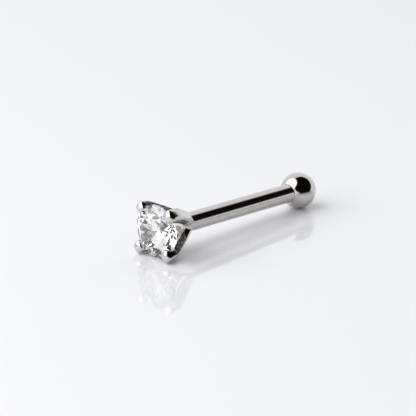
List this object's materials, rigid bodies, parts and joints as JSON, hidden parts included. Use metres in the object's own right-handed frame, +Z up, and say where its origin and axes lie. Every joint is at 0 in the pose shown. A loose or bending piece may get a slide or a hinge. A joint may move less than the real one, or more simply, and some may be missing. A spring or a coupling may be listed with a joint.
{
  "type": "nose stud",
  "caption": "Straight nose stud: round brilliant cut clear stone in a claw setting, on a plain round post with a ball end.",
  "frame": {"origin": "under the middle of the lying stud, on the surface that it lies on", "axes": "+Y runs along the post from the stone towards the ball, +Z is up, and the table of the stone faces -Y"},
  "size_m": [0.0022, 0.01, 0.0023],
  "materials": {
    "polished_metal": "polished",
    "clear_stone": "polished"
  },
  "bodies": {
    "root": {"metal_stud": "polished_metal", "stone": "clear_stone"}
  },
  "joints": []
}
